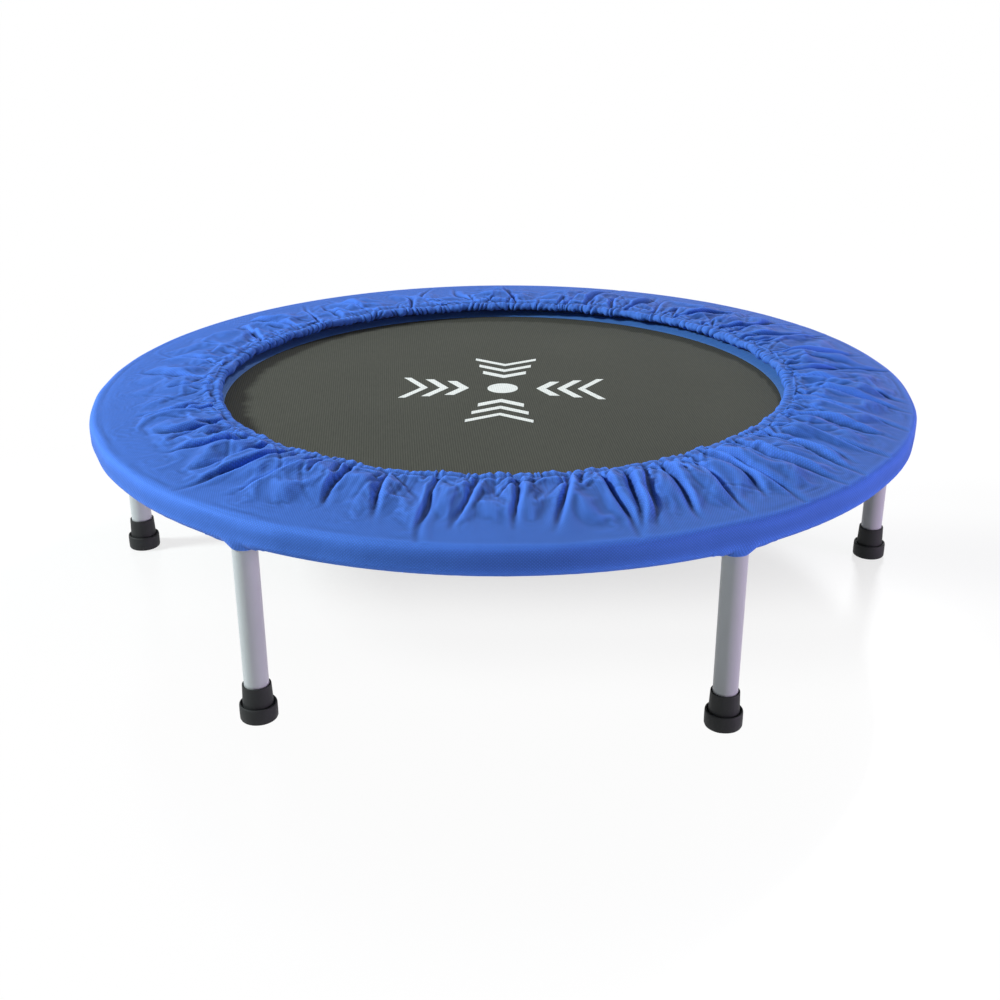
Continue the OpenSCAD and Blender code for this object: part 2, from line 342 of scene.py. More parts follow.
def matFinish():
    look = matLook
    finish, tree, shader = newFinish("matWeave", (0.09, 0.092, 0.08), 0.6, 0.12)
    place = matPlace(tree)
    ribs = waves(tree, place, look["rib"], "X", 0.25)
    picks = waves(tree, place, look["pick"], "Y", 0.25)
    fray = streaks(tree, place, (420, 60, 60), 3.0)
    clouds = noiseAt(tree, place, 7.0, 2.0)
    tone = weighted(tree, *zip((ribs, picks, fray, clouds), look["tone"]))
    shades(tree, shader, ramp(tree, tone, 0, 1, 0.12, 0.92), look["dark"], look["light"])
    roughen(tree, shader, fray, 0.74, 0.92)
    bumps(tree, shader, tone, look["deep"], 0.9)
    return finish


def tapeFinish(name, colour, roughness, rib, sheen=0.0):
    # a woven tape with ribs across it and a fine thread along it
    finish, tree, shader = newFinish(name, colour, roughness, 0.35, sheen=sheen)
    place = addNode(tree, "UVMap", uv_map="cloth").outputs[0]
    across = waves(tree, place, rib, "X", 0.3)
    along = waves(tree, place, rib * 1.4, "Y", 0.3)
    spots = noiseAt(tree, objectPlace(tree), 60.0, 3.0)
    weave = calc(tree, "MULTIPLY", across, along)
    tone = weighted(tree, (weave, 0.6), (spots, 0.5))
    tints(tree, shader, tone, colour, 0.72, 1.3)
    roughen(tree, shader, weave, roughness + 0.1, roughness - 0.08)
    bumps(tree, shader, tone, 0.0003, 0.8)
    return finish


def paintFinish(name, colour, roughness=0.36):
    # powder coat: a light orange peel, faint cloudiness
    finish, tree, shader = newFinish(name, colour, roughness)
    place = objectPlace(tree)
    cloud = noiseAt(tree, place, 14.0, 3.0)
    tints(tree, shader, cloud, colour, 0.95, 1.05)
    peel = noiseAt(tree, place, 650.0, 2.0)
    roughen(tree, shader, peel, roughness - 0.05, roughness + 0.08)
    bumps(tree, shader, peel, 0.00006, 0.5)
    return finish


def zincFinish(name, colour, roughness=0.34):
    finish, tree, shader = newFinish(name, colour, roughness, metallic=1.0)
    place = objectPlace(tree)
    spangle = noiseAt(tree, place, 220.0, 4.0, 0.6)
    tints(tree, shader, spangle, colour, 0.78, 1.12)
    roughen(tree, shader, spangle, roughness - 0.08, roughness + 0.16)
    bumps(tree, shader, spangle, 0.00005, 0.6)
    return finish


def rubberFinish():
    finish, tree, shader = newFinish("footRubber", (0.014, 0.016, 0.017), 0.62, 0.28)
    place = objectPlace(tree)
    grain = noiseAt(tree, place, 900.0, 3.0)
    dust = noiseAt(tree, place, 45.0, 4.0, 0.6)
    tone = weighted(tree, (dust, 0.75), (grain, 0.25))
    shades(tree, shader, tone, (0.009, 0.010, 0.011), (0.025, 0.027, 0.028))
    roughen(tree, shader, dust, 0.5, 0.78)
    bumps(tree, shader, grain, 0.0001, 0.6)
    return finish


def foamFinish():
    finish, tree, shader = newFinish("foam", (0.80, 0.80, 0.77), 0.75, 0.25)
    place = objectPlace(tree)
    cells = addNode(tree, "TexVoronoi", {"Vector": place, "Scale": 420.0}).outputs["Distance"]
    clouds = noiseAt(tree, place, 20.0, 3.0)
    tone = weighted(tree, (cells, 0.7), (clouds, 0.4))
    shades(tree, shader, tone, (0.70, 0.70, 0.66), (0.86, 0.86, 0.83))
    roughen(tree, shader, clouds, 0.68, 0.86)
    bumps(tree, shader, cells, 0.0005, 0.7)
    return finish


def inkFinish():
    # screen print: the ribs of the mat show through
    finish, tree, shader = newFinish("whiteInk", (0.78, 0.80, 0.79), 0.55, 0.35)
    place = matPlace(tree)
    rib = waves(tree, place, matLook["rib"], "X", 0.25)
    wear = noiseAt(tree, place, 160.0, 4.0, 0.65)
    tone = weighted(tree, (rib, 0.4), (wear, 0.8))
    shades(tree, shader, ramp(tree, tone, 0, 1, 0.2, 0.75), (0.74, 0.76, 0.755),
           (0.95, 0.965, 0.96))
    roughen(tree, shader, wear, 0.45, 0.7)
    bumps(tree, shader, rib, 0.0002, 0.7)
    return finish


finishes = {
    "cloth": clothFinish(),
    "mat": matFinish(),
    # blue cloth on the pad, coloured much darker than the cover: painted shade under the gathered
    # edge
    "lining": tapeFinish("padLiningShaded", (0.016, 0.060, 0.235), 0.55, 0.0014, 0.1),
    "band": tapeFinish("bandWebbing", (0.042, 0.185, 0.58), 0.5, 0.0012, 0.15),
    "webbing": tapeFinish("blackWebbing", (0.026, 0.026, 0.028), 0.55, 0.0016),
    "elastic": tapeFinish("elastic", (0.72, 0.72, 0.70), 0.6, 0.0014),
    "thread": tapeFinish("thread", (0.10, 0.22, 0.62), 0.5, 0.0006),
    "darkThread": tapeFinish("darkThread", (0.07, 0.07, 0.075), 0.5, 0.0006),
    "ring": paintFinish("ringSteel", (0.50, 0.505, 0.53)),
    "leg": paintFinish("legPaint", (0.49, 0.515, 0.54)),
    "zinc": zincFinish("zincSteel", (0.72, 0.72, 0.70)),
    "spring": zincFinish("springSteel", (0.62, 0.62, 0.61), 0.3),
    "rubber": rubberFinish(),
    "foam": foamFinish(),
    "ink": inkFinish(),
}
print("finishes made:", len(finishes))


cameraSetup = {
    "lens": 47.06,
    "reach": 0.4825,                          # the radius that the next three count in
    "back": 3.1435, "aside": -0.003, "height": 1.4741,
    "turn": 2.04, "aim": 0.09, "tilt": 22.96, "roll": -0.22,     # degrees
}


def makeCamera():
    s = cameraSetup
    data = bpy.data.cameras.new("camera")
    data.lens, data.sensor_width = s["lens"], 36
    camera = addObject("camera", data)
    turn = Matrix.Rotation(math.radians(s["turn"]), 4, "Z")
    stand = turn @ Vector((s["aside"] * s["reach"], -s["back"] * s["reach"], 0))
    stand.z = s["height"] * s["reach"]
    camera.matrix_world = (Matrix.Translation(stand)
                           @ Matrix.Rotation(math.radians(s["turn"] + s["aim"]), 4, "Z")
                           @ Matrix.Rotation(math.radians(90 - s["tilt"]), 4, "X")
                           @ Matrix.Rotation(math.radians(s["roll"]), 4, "Z"))
    bpy.context.scene.camera = camera


studio = {
    "glow": (0.70, 0.93, 1.0),        # share of the floor that no shadow darkens
    "reach": (0.03, 0.22, 0.37),      # and how far out each of them lies
    "aside": 0.22,                    # how little the way to the sides counts in it
    "paper": 0.80,                    # the floor's own grey
    "gloss": 0.03, "rough": 0.28,     # share of the floor that mirrors, and how soft
    "floor": (14, -0.0002),           # half its width, and its height
    "aim": (0, 0, 0.2),               # where the lamps point
    "sky": 0.165,                     # plain light from all round
    "lamps": {         # place, power, size, colour
        "keyLamp": ((-2.95, -0.60, 2.10), 128, 0.60, (0.92, 1.0, 0.975)),
        "sideLamp": ((2.5, -1.05, 0.24), 32, 0.35, (0.88, 0.64, 1.0)),
        "backLamp": ((1.0, 2.2, 1.9), 32, 0.35, (0.95, 0.98, 1.0)),
    },
}


def seenDirect(tree):
    # 1 for rays from the camera, off gloss and through glass
    light = addNode(tree, "LightPath")
    seen = calc(tree, "MAXIMUM", light.outputs["Is Camera Ray"], light.outputs["Is Glossy Ray"])
    return calc(tree, "MAXIMUM", seen, light.outputs["Is Transmission Ray"])


def mixShaders(tree, share, first, second):
    return addNode(tree, "MixShader", {0: share, 1: first.outputs[0], 2: second.outputs[0]})


def makeStudio():
    scene = bpy.context.scene
    scene.view_settings.view_transform = "Standard"
    white = (1, 1, 1, 1)
    world = bpy.data.worlds.new("studio")
    scene.world = world
    world.use_nodes = True
    tree = world.node_tree
    sky = tree.nodes["Background"]
    sky.inputs[0].default_value = white
    tree.links.new(ramp(tree, seenDirect(tree), studio["sky"], 1.0), sky.inputs[1])

    floorFinish = bpy.data.materials.new("floorWhite")
    floorFinish.use_nodes = True
    tree = floorFinish.node_tree
    tree.nodes.remove(tree.nodes["Principled BSDF"])
    matt = addNode(tree, "BsdfDiffuse", {"Color": (*[studio["paper"]] * 3, 1)})
    bright = addNode(tree, "BsdfDiffuse", {"Color": white})
    glow = addNode(tree, "Emission", {"Color": white, "Strength": 1.0})
    flat = mapped(tree, objectPlace(tree), "Scale", (studio["aside"], 1, 1))
    far = addNode(tree, "VectorMath", {0: flat}, operation="LENGTH").outputs["Value"]
    near, middle, out = studio["reach"]
    low, medium, full = studio["glow"]
    first = ramp(tree, far, low, medium, near, middle, "SMOOTHSTEP")
    second = ramp(tree, far, 0.0, full - medium, middle, out, "SMOOTHSTEP")
    paper = mixShaders(tree, calc(tree, "ADD", first, second), bright, glow)
    mirror = addNode(tree, "BsdfGlossy", {"Color": white, "Roughness": studio["rough"]})
    shiny = mixShaders(tree, studio["gloss"], paper, mirror)
    both = mixShaders(tree, seenDirect(tree), matt, shiny)
    tree.links.new(both.outputs[0], tree.nodes["Material Output"].inputs[0])
    half, z = studio["floor"]
    mesh = bpy.data.meshes.new("floor")
    mesh.from_pydata([(-half, -half, z), (half, -half, z), (half, half, z), (-half, half, z)],
                     [], [(0, 1, 2, 3)])
    mesh.materials.append(floorFinish)
    addObject("floor", mesh)

    for name, (place, power, size, colour) in studio["lamps"].items():
        lamp = bpy.data.lights.new(name, "AREA")
        lamp.energy, lamp.size, lamp.color = power, size, colour
        holder = addObject(name, lamp)
        holder.location = place
        aim = Vector(studio["aim"]) - Vector(place)
        holder.rotation_euler = aim.to_track_quat("-Z", "Y").to_euler()


makeCamera()
makeStudio()
print("camera and studio ready")


coverSizes = {
    "columns": 1080, "rows": 50,              # of the part that is simulated
    "seamR": 0.3392, "seamZ": 0.2322,         # the gathered seam
    "rimR": 0.4765, "rimZ": 0.2277,           # where the top turns over the ring
    "stripLong": 3.02,                        # the straight strip that is gathered to the seam
    "stripWide": 0.225,
    "crest": 0.0135, "ruffle": 0.0024,        # height of folds and ruffles over the pad
    "swell": 0.22, "rumple": 0.09,            # how crests differ round the circle and on the way
    "seamNoise": (0.0014, 0.0008, 0.0010),    # the seam's wander outwards, up, and its rise aside
    "crowding": (0.28, 330),                  # how much closer folds stand, and round which angle
    "folds": 58, "tucks": 100, "thin": 110, "ruffles": 160,
    # folds drawn one by one: where each starts and ends (degrees), and how far out it goes
    "drawn": ((24, 25, 1.0), (261.4, 262.5, 0.97), (267.9, 266.0, 0.78), (274.5, 273.2, 0.76),
              (282.9, 277.8, 0.80), (287.7, 287.1, 0.97), (292.5, 287.9, 0.90),
              (299.4, 295.2, 0.86), (305, 301, 0.92), (252.5, 256.0, 0.72), (246, 248.5, 0.66),
              (6.2, 5.1, 1.0), (358, 350.5, 0.94), (351, 346.5, 0.97), (344.4, 339, 0.98),
              (337, 334.6, 0.92), (330.5, 328, 1.0), (325, 320.7, 1.0), (316, 317, 1.0),
              (310.6, 309, 1.0), (15, 13, 0.9), (233.3, 229.7, 0.93), (240.2, 236.3, 0.77),
              (223.3, 218.3, 0.66), (203.3, 201, 0.63), (189.4, 189.4, 0.40)),
    "wallR": 0.4823, "wallZ": 0.2062, "hemR": 0.4773, "hemZ": 0.1975,
    "sleeveZ": 0.1898, "sleeveR": 0.0137, "sleeveHalf": 0.037,
    "sway": 0.00045, "dent": 0.0005, "gather": 0.00055,   # how uneven wall and hem are
    "aside": ((0.0085, 18), (0.0075, 196)),   # how far the gathered edge is drawn out, and where
    "start": (0.16, 0.22),                    # share of the crest at the seam, and the sides' extra
    "late": 0.42, "longer": 0.16,             # where crests begin to sink, and one side's extra
    "pressed": (0.0036, 0.0018, 0.0015),      # depth of the sharp lines in each kind of crease
    "slack": 1.15, "frames": 6,
}


def spacedAngles(count, spread, seed):
    # unevenly spaced angles round the circle
    widths = np.exp(np.random.default_rng(seed).normal(0, spread, count))
    return np.cumsum(widths) / widths.sum() * fullTurn


def wrap(angles):
    return (angles + math.pi) % fullTurn - math.pi


def billow(angles, lines, heights):
    # rounded crests between sharp valleys that lie at the angles of lines
    wide = np.concatenate([[lines[-1] - fullTurn], lines, [lines[0] + fullTurn]])
    tall = np.concatenate([[heights[-1]], heights, [heights[0]]])
    at = np.clip(np.searchsorted(wide, angles, side="right") - 1, 0, len(wide) - 2)
    share = (angles - wide[at]) / np.maximum(wide[at + 1] - wide[at], 1e-6)
    return mix(tall[at], tall[at + 1], share) * (1 - np.abs(2 * share - 1) ** 2.2)


def creaseLines(count, spread, seed, reach, deep, half, slant, drawn=()):
    # the valleys of one kind: angle, lean, how far out, how deep, how wide on each side
    draw = np.random.default_rng(seed)
    lines = spacedAngles(count, spread, seed + 1)
    share, towards = coverSizes["crowding"]
    lines = lines - share * np.sin(lines - math.radians(towards))
    right = np.cos(lines)                # long straight folds on one side, short on the other
    front = np.clip(-np.sin(lines), 0, 1)
    middle, scatter, longer = reach
    creases = {
        "at": lines,
        "lean": slant * draw.normal(0, 1, count) * (1 - 0.6 * np.clip(right, 0, 1)),
        "bend": 0.25 * slant * draw.normal(0, 1, count),
        "reach": np.clip(middle + scatter * draw.uniform(-1, 1, count) + longer * right, 0.05, 1),
        "deep": np.clip(draw.uniform(*deep, count) * (0.82 + 0.18 * front + 0.12 * right), 0, 1),
        "near": half * draw.uniform(0.28, 0.6, count),
        "far": half * draw.uniform(0.9, 1.6, count),
    }
    free = np.ones(count)
    for start, end, out in drawn:
        n = np.argmin(np.abs(wrap(lines - math.radians(start))) / free)
        free[n] = 1e-6                   # no other drawn fold takes this line
        lines[n], creases["reach"][n], creases["deep"][n] = math.radians(start), out, 1.0
        creases["lean"][n], creases["bend"][n] = math.radians(end - start) / out, 0
    return creases


def creasePath(creases, n, t):
    # the angle at which crease n crosses the row at t
    return creases["at"][n] + creases["lean"][n] * t + creases["bend"][n] * math.sin(4 * t)


def creaseDepth(angles, t, creases):
    # what share of the crest's height is left at each angle, on the row at t
    left = np.ones_like(angles)
    for n in range(len(creases["at"])):
        if t >= creases["reach"][n]:
            continue
        go = t / creases["reach"][n]
        off = wrap(angles - creasePath(creases, n, t)) * (-1 if n % 2 else 1)
        wide = np.where(off > 0, creases["far"][n], creases["near"][n])
        wide = wide * (0.55 + go * (1 - 0.75 * go))
        dip = np.clip(1 - np.abs(off) / wide, 0, 1) ** 2.3
        left *= 1 - creases["deep"][n] * (1 - go ** 3.5) * dip
    return left


def seamShift(angles):
    # the gathered edge is drawn out a little on two sides
    return sum(far * np.clip(np.cos(angles - math.radians(towards)), 0, 1) ** 2
               for far, towards in coverSizes["aside"])


creaseKinds = {    # spread, seed, reach (middle, scatter, one side's extra), depth, width, slant
    "folds": (0.34, 11, (0.80, 0.16, 0.12), (0.66, 1.0), 0.52, 0.10),     # long, from the seam out
    "tucks": (0.40, 23, (0.22, 0.13, 0.03), (0.45, 0.95), 0.20, 0.12),    # short, at the seam
    "thin": (0.55, 47, (0.52, 0.34, 0.14), (0.25, 1.0), 0.20, 0.24),      # lines between them
}


def coverCreases():
    s = coverSizes
    step = fullTurn / s["folds"]
    return [creaseLines(s[kind], spread, seed, reach, deep, step * half, slant,
                        s["drawn"] if kind == "folds" else ())
            for kind, (spread, seed, reach, deep, half, slant) in creaseKinds.items()]


def ruffleLines():
    # where the small ruffles at the seam meet, and how tall each one is
    count = coverSizes["ruffles"]
    return spacedAngles(count, 0.65, 9), np.random.default_rng(5).uniform(0.3, 1.5, count)


def topShape():
    # the gathered top before it settles: deep folds from the seam out, small tucks at it
    s = coverSizes
    angles = roundAngles(s["columns"])
    across = np.linspace(0, 1, s["rows"]) ** 1.15           # rows lie closer at the seam
    folds, tucks = coverCreases()[:2]
    swell = 1 + s["swell"] * softNoise(angles, 4, 30, 6)
    fine, tall = ruffleLines()
    ruffles = billow(angles, fine, s["ruffle"] * tall)
    rumple = [softNoise(angles, 20, 70, 70 + i) for i in range(4)]
    start = s["start"][0] + s["start"][1] * np.abs(np.cos(angles))
    right = np.clip(np.cos(angles), 0, 1)
    late = s["late"] + s["longer"] * right
    height = np.zeros((s["rows"], s["columns"]))
    for i, t in enumerate(across):
        crest = s["crest"] * (mix(start, 0.56, ease(t / 0.06)) + 0.44 * ease((t - 0.05) / 0.22))
        crest = crest * (1 - ease((t - late) / (1.02 - late))) ** 0.75
        left = creaseDepth(angles, t, folds) * creaseDepth(angles, t, tucks)
        soft = sum(r * math.sin(math.pi * t * (k + 1)) for k, r in enumerate(rumple))
        height[i] = crest * swell * left * (1 + s["rumple"] * soft)
        height[i] += ruffles * mix(0.6, 1, ease(t / 0.03)) * max(0, 1 - t / 0.12)
    radius = mix(s["seamR"] + seamShift(angles)[None], s["rimR"], across[:, None])
    out, up, rise = s["seamNoise"]
    radius[0] += out * softNoise(angles, 8, 60, 3)
    height += mix(s["seamZ"], s["rimZ"], across)[:, None]
    height[0] += up * softNoise(angles, 5, 40, 4) + rise * right
    height[-1] = s["rimZ"]
    return angles, across, radius, height


# the top of the pad that the cloth settles on
padTop = [(0.350, 0.2176), (0.3515, 0.2312), (0.362, 0.2316), (0.463, 0.2264),
          (0.4745, 0.2248), (0.4795, 0.2195), (0.4795, 0.205)]


clothFeel = {
    "quality": 5, "mass": 0.1, "air_damping": 5,
    "tension_stiffness": 80, "tension_damping": 15,
    "compression_stiffness": 80, "compression_damping": 15,
    "shear_stiffness": 60, "shear_damping": 10,
    "bending_stiffness": 10, "bending_damping": 1,
}
touch = {"apart": 0.0015, "padSkin": 0.001, "friction": 10}     # between the cloth and the pad


def makeCollider():
    count, long = 180, len(padTop)
    points, faces = [], []
    for a, turn in enumerate(roundAngles(count)):
        points += [(r * math.cos(turn), r * math.sin(turn), z) for r, z in padTop]
        b = (a + 1) % count
        faces += [[a * long + c, a * long + c + 1, b * long + c + 1, b * long + c]
                  for c in range(long - 1)]
    mesh = bpy.data.meshes.new("collider")
    mesh.from_pydata(points, [], faces)
    pad = addObject("collider", mesh)
    pad.modifiers.new("collision", "COLLISION")
    pad.collision.thickness_outer = touch["padSkin"]
    pad.collision.cloth_friction = touch["friction"]
    return pad


def settle(angles, across, radius, height):
    # the cloth is a little longer than the folds drawn, and both its long edges are held
    s = coverSizes
    rows, columns = height.shape
    grid = roundGrid(radius, angles, height)
    slack = grid.copy()
    line = mix(s["seamZ"], s["rimZ"], across)[:, None]
    slack[..., 2] = line + (height - line) * s["slack"]
    strip = gridPiece("strip", grid, "cloth", 1, across)
    strip.shape_key_add(name="Basis")
    cut = strip.shape_key_add(name="cut")
    cut.data.foreach_set("co", slack.ravel())
    cut.value = 0
    held = strip.vertex_groups.new(name="held")
    held.add(list(range(columns)), 1.0, "REPLACE")
    held.add(list(range((rows - 1) * columns, rows * columns)), 1.0, "REPLACE")
    pad = makeCollider()
    cloth = strip.modifiers.new("cloth", "CLOTH")
    for key, value in clothFeel.items():
        setattr(cloth.settings, key, value)
    cloth.settings.vertex_group_mass = "held"
    cloth.settings.rest_shape_key = cut
    cloth.collision_settings.distance_min = touch["apart"]
    cloth.collision_settings.collision_quality = 2
    cloth.point_cache.frame_start, cloth.point_cache.frame_end = 1, s["frames"] + 5
    scene = bpy.context.scene
    for step in range(1, s["frames"] + 1):
        scene.frame_set(step)
    shown = strip.evaluated_get(bpy.context.evaluated_depsgraph_get()).to_mesh()
    co = np.zeros(len(shown.vertices) * 3, np.float32)
    shown.vertices.foreach_get("co", co)
    bpy.data.objects.remove(strip)
    bpy.data.objects.remove(pad)
    scene.frame_set(1)
    grid = co.reshape(rows, columns, 3).astype(float)
    # this takes the finest ripple of the mesh away
    return grid * 0.6 + (np.roll(grid, 1, 1) + np.roll(grid, -1, 1)) * 0.2


pressSizes = {
    "wide": 0.0024, "past": 1.08,             # half width, and how far a line outruns its fold
    "ridge": (0.50, 2.1, 1.4),                # its height, distance and width beside the line
    "radii": (0.34, 0.476), "gap": 0.0010,    # from seam to rim, and the room above the pad
}


def pressCreases(grid, angles, across):
    # sharp lines with a low ridge on one side, put in once the cloth has settled
    s = pressSizes
    ridge, aside, broad = s["ridge"]
    for creases, depth in zip(coverCreases(), coverSizes["pressed"]):
        for n in range(len(creases["at"])):
            for i, t in enumerate(across):
                go = t / creases["reach"][n]
                if go >= s["past"]:
                    break
                line = creasePath(creases, n, t) + 0.004 * math.sin(11 * t + n)
                off = wrap(angles - line) * mix(*s["radii"], t) * (-1 if n % 2 else 1)
                wide = s["wide"] * (0.7 + 0.6 * creases["deep"][n]) * (0.75 + 0.5 * go)
                near = np.abs(off) < wide * 5
                cut = (np.exp(-(off[near] / wide) ** 2)
                       - ridge * np.exp(-((off[near] - aside * wide) / (broad * wide)) ** 2))
                strength = creases["deep"][n] * ease(t / 0.02) * (1 - (go / s["past"]) ** 3)
                grid[i, near, 2] -= depth * strength * cut
    # no line cuts into the pad
    far = np.hypot(grid[..., 0], grid[..., 1])
    floor = np.interp(far, *zip(*padTop[1:6])) + s["gap"]
    grid[1:-1, :, 2] = np.maximum(grid[1:-1, :, 2], floor[1:-1])
    return grid


def finerColumns(grid):
    # one more column between each two, on a smooth curve
    before, after = np.roll(grid, 1, 1), np.roll(grid, -1, 1)
    beyond = np.roll(grid, -2, 1)
    between = (9 * (grid + after) - (before + beyond)) / 16
    return np.stack([grid, between], 2).reshape(grid.shape[0], -1, 3)


casingSizes = {
    "rows": 16, "r": 0.3328, "z": 0.2321,     # the middle of the casing
    "turns": (285, 62),                       # 270 is straight under, 180 the inner side
    "bulge": 0.0038, "wider": 0.0006,         # its least radius, and how much wider than high
    "puff": 0.0021,                           # what the ruffles add
    "pinch": 0.0008, "lean": 0.0011, "lift": 0.0010, "skew": 0.022,    # unevenness
    "joined": (0.0004, 0.0012),               # how far in and under the seam it ends
}


def casingRows(angles, seamRow):
    # the turned hem round the elastic, from under the seam round the inner edge to the seam
    s = casingSizes
    fine, tall = ruffleLines()
    skew = s["skew"] * softNoise(angles, 8, 60, 15)       # the ruffles lean this way and that
    pinch = s["pinch"] * softNoise(angles, 120, 320, 14)
    lean = s["lean"] * softNoise(angles, 10, 90, 12)
    lift = s["lift"] * softNoise(angles, 6, 50, 13)
    seamR = np.hypot(seamRow[:, 0], seamRow[:, 1]) - s["joined"][0]
    seamZ = seamRow[:, 2] - s["joined"][1]
    rows = []
    for share in np.linspace(0, 1, s["rows"])[:-1]:
        turn = math.radians(mix(*s["turns"], share))
        puff = billow((angles + skew * (1 - share)) % fullTurn, fine, tall)
        bulge = s["bulge"] + s["puff"] * puff + pinch * math.cos(3 * share)
        r = s["r"] + seamShift(angles) + lean + (bulge + s["wider"]) * math.cos(turn)
        z = s["z"] + lift + bulge * math.sin(turn)
        near = ease((share - 0.80) / 0.20)
        rows.append(roundGrid(mix(r, seamR, near), angles, mix(z, seamZ, near)))
    return np.array(rows)


def hemPath(angles):
    # the gathered lower edge, and how it hugs the front half of each leg
    s = coverSizes
    r = np.full_like(angles, s["hemR"])
    t = angles.copy()
    z = np.full_like(angles, s["hemZ"])
    half = s["sleeveHalf"]
    side = [(0.0143, 0.037), (0.0137, 0.031), (0.0118, 0.0255), (0.0086, 0.0208),
            (0.0052, 0.0172), (0.0040, 0.0148)]
    bend = [(s["sleeveR"] * math.cos(a), s["sleeveR"] * math.sin(a))
            for a in np.radians(np.linspace(72, -72, 25))]
    path = np.array(side + bend + [(x, -y) for x, y in side[::-1]])
    steps = np.concatenate([[0], np.cumsum(np.hypot(*np.diff(path, axis=0).T))])
    for leg in legAngles:
        off = wrap(angles - leg) * s["hemR"]
        near = np.abs(off) < half
        share = (1 - off[near] / half) / 2 * steps[-1]
        x, y = np.interp(share, steps, path[:, 0]), np.interp(share, steps, path[:, 1])
        r[near] = np.hypot(legR + x, y)
        t[near] += wrap(leg + np.arctan2(y, legR + x) - angles[near])
        z[near] = mix(s["sleeveZ"], s["hemZ"], ease((np.abs(y) - 0.0125) / 0.022))
    return r, t, z


shoulderLine = [(0.4781, 0.2271), (0.4797, 0.2261), (0.4809, 0.2246), (0.4817, 0.2226),
                (0.4822, 0.2200), (0.48235, 0.2165), (0.4823, 0.2125), (0.4823, 0.2085)]


def wallRows(angles):
    # shoulder, side wall, gathered hem and its turned-in edge
    s = coverSizes
    sway = s["sway"] * softNoise(angles, 4, 26, 31)
    dent = s["dent"] * softNoise(angles, 9, 48, 32)
    gather = s["gather"] * softNoise(angles, 90, 260, 33)
    hemR, hemT, hemZ = hemPath(angles)
    rows = []
    for i, (r, z) in enumerate(shoulderLine):
        share = min(1, i / 4)
        rows.append(roundGrid(r + (sway + dent) * share, angles, z + dent * 0.4))
    for share in (0.12, 0.3, 0.5, 0.7, 0.86, 0.95, 1.0):
        r = mix(s["wallR"] + sway + dent, hemR + gather, share ** 2.2)
        z = mix(s["wallZ"], hemZ, share) + gather * share * 0.6
        rows.append(roundGrid(r, mix(angles, hemT, ease(share * 1.1)), z))
    for inside, up in ((0.0009, -0.0004), (0.0017, 0.0003), (0.0019, 0.0015), (0.0012, 0.0024)):
        rows.append(roundGrid(hemR + gather - inside * 0.55, hemT, hemZ + up + gather * 0.6))
    return np.array(rows)


def makeCover():
    s = coverSizes
    angles, across, radius, height = topShape()
    grid = settle(angles, across, radius, height)
    grid = finerColumns(grid)
    angles = roundAngles(grid.shape[1])
    grid = pressCreases(grid, angles, across)
    whole = np.concatenate([casingRows(angles, grid[0]), grid, wallRows(angles)])
    steps = np.linalg.norm(np.diff(whole, axis=0), axis=2).mean(1)
    cover = gridPiece("cover_cloth", whole, "cloth", s["stripLong"],
                      np.concatenate([[0], np.cumsum(steps)]))
    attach(cover, "frame")
    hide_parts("cover")


makeCover()
print("cover made")


elasticSizes = {      # shift: 1 where it goes along with the gathered edge
    "inner_elastic": {"r": 0.33395, "z": 0.2311, "thick": 0.0014, "shift": 1},
    "hem_elastic": {"r": 0.4780, "z": 0.2029, "thick": 0.0010, "shift": 0},
}


def makeElastic(name):
    # a braided round cord: a tube with a fine twisted surface
    s = elasticSizes[name]
    columns, sides = 720, 10
    turns = roundAngles(sides)[:, None]
    angles = roundAngles(columns)
    thick = s["thick"] * (1 + 0.05 * np.cos(2 * turns + 180 * angles))
    middle = s["r"] + s["shift"] * seamShift(angles)
    grid = roundGrid(middle + thick * np.cos(turns), angles, s["z"] + thick * np.sin(turns))
    cord = gridPiece(name, grid, "elastic", fullTurn * s["r"],
                     np.arange(sides) * s["thick"] * 0.6, closeRows=True, flip=True)
    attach(cord, "frame")
    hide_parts("cover_" + name)


for name in elasticSizes:
    makeElastic(name)

padSizes = {"liningR": 0.372, "uneven": 0.00035}      # the cloth lining ends at liningR
padLine = [(0.3528, 0.2186), (0.3527, 0.2152), (0.3521, 0.2150), (0.3518, 0.2160),
           (0.3519, 0.2200), (0.3522, 0.2240), (0.3527, 0.2290), (0.3540, 0.2308),
           (0.3580, 0.2314), (0.3640, 0.2313), (0.4000, 0.2293), (0.4300, 0.2275), (0.4600, 0.2259),
           (0.4710, 0.2252), (0.4760, 0.2240), (0.4788, 0.2218), (0.4796, 0.2195), (0.4798, 0.2150),
           (0.4797, 0.2095), (0.4790, 0.2076), (0.4775, 0.2080), (0.4768, 0.2120), (0.4755, 0.2180),
           (0.4715, 0.2228), (0.4640, 0.2256), (0.4560, 0.2240), (0.4505, 0.2200), (0.4475, 0.2186),
           (0.4200, 0.2185), (0.3900, 0.2184)]


def padWobble(angles, radius, height):
    soft = padSizes["uneven"] * softNoise(angles, 5, 40, 41)
    return radius + soft * 0.5, height + soft


pad = ringSection("foam_ring", padLine, 360, "foam", padWobble)
# the pad's inner side wears the darker lining: painted shade under the gathered edge
pad.data.materials.append(finishes["lining"])
for face in pad.data.polygons:
    if math.hypot(face.center.x, face.center.y) < padSizes["liningR"]:
        face.material_index = 1
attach(pad, "frame")
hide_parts("foam_pad")
print("elastics and pad made")


matSizes = {
    "r": 0.3494, "hub": 0.012, "top": 0.21615, "low": 0.21480,
    "inner": 0.32, "edge": 0.326,             # between these the rows begin to lie closer
    "under": 0.345, "pull": 0.0006,           # the underside's edge, and the wire rings' pull
}


def scallop(angles):
    # the edge is drawn out a little at each wire ring
    return matSizes["pull"] * np.cos(springCount * angles - math.pi)


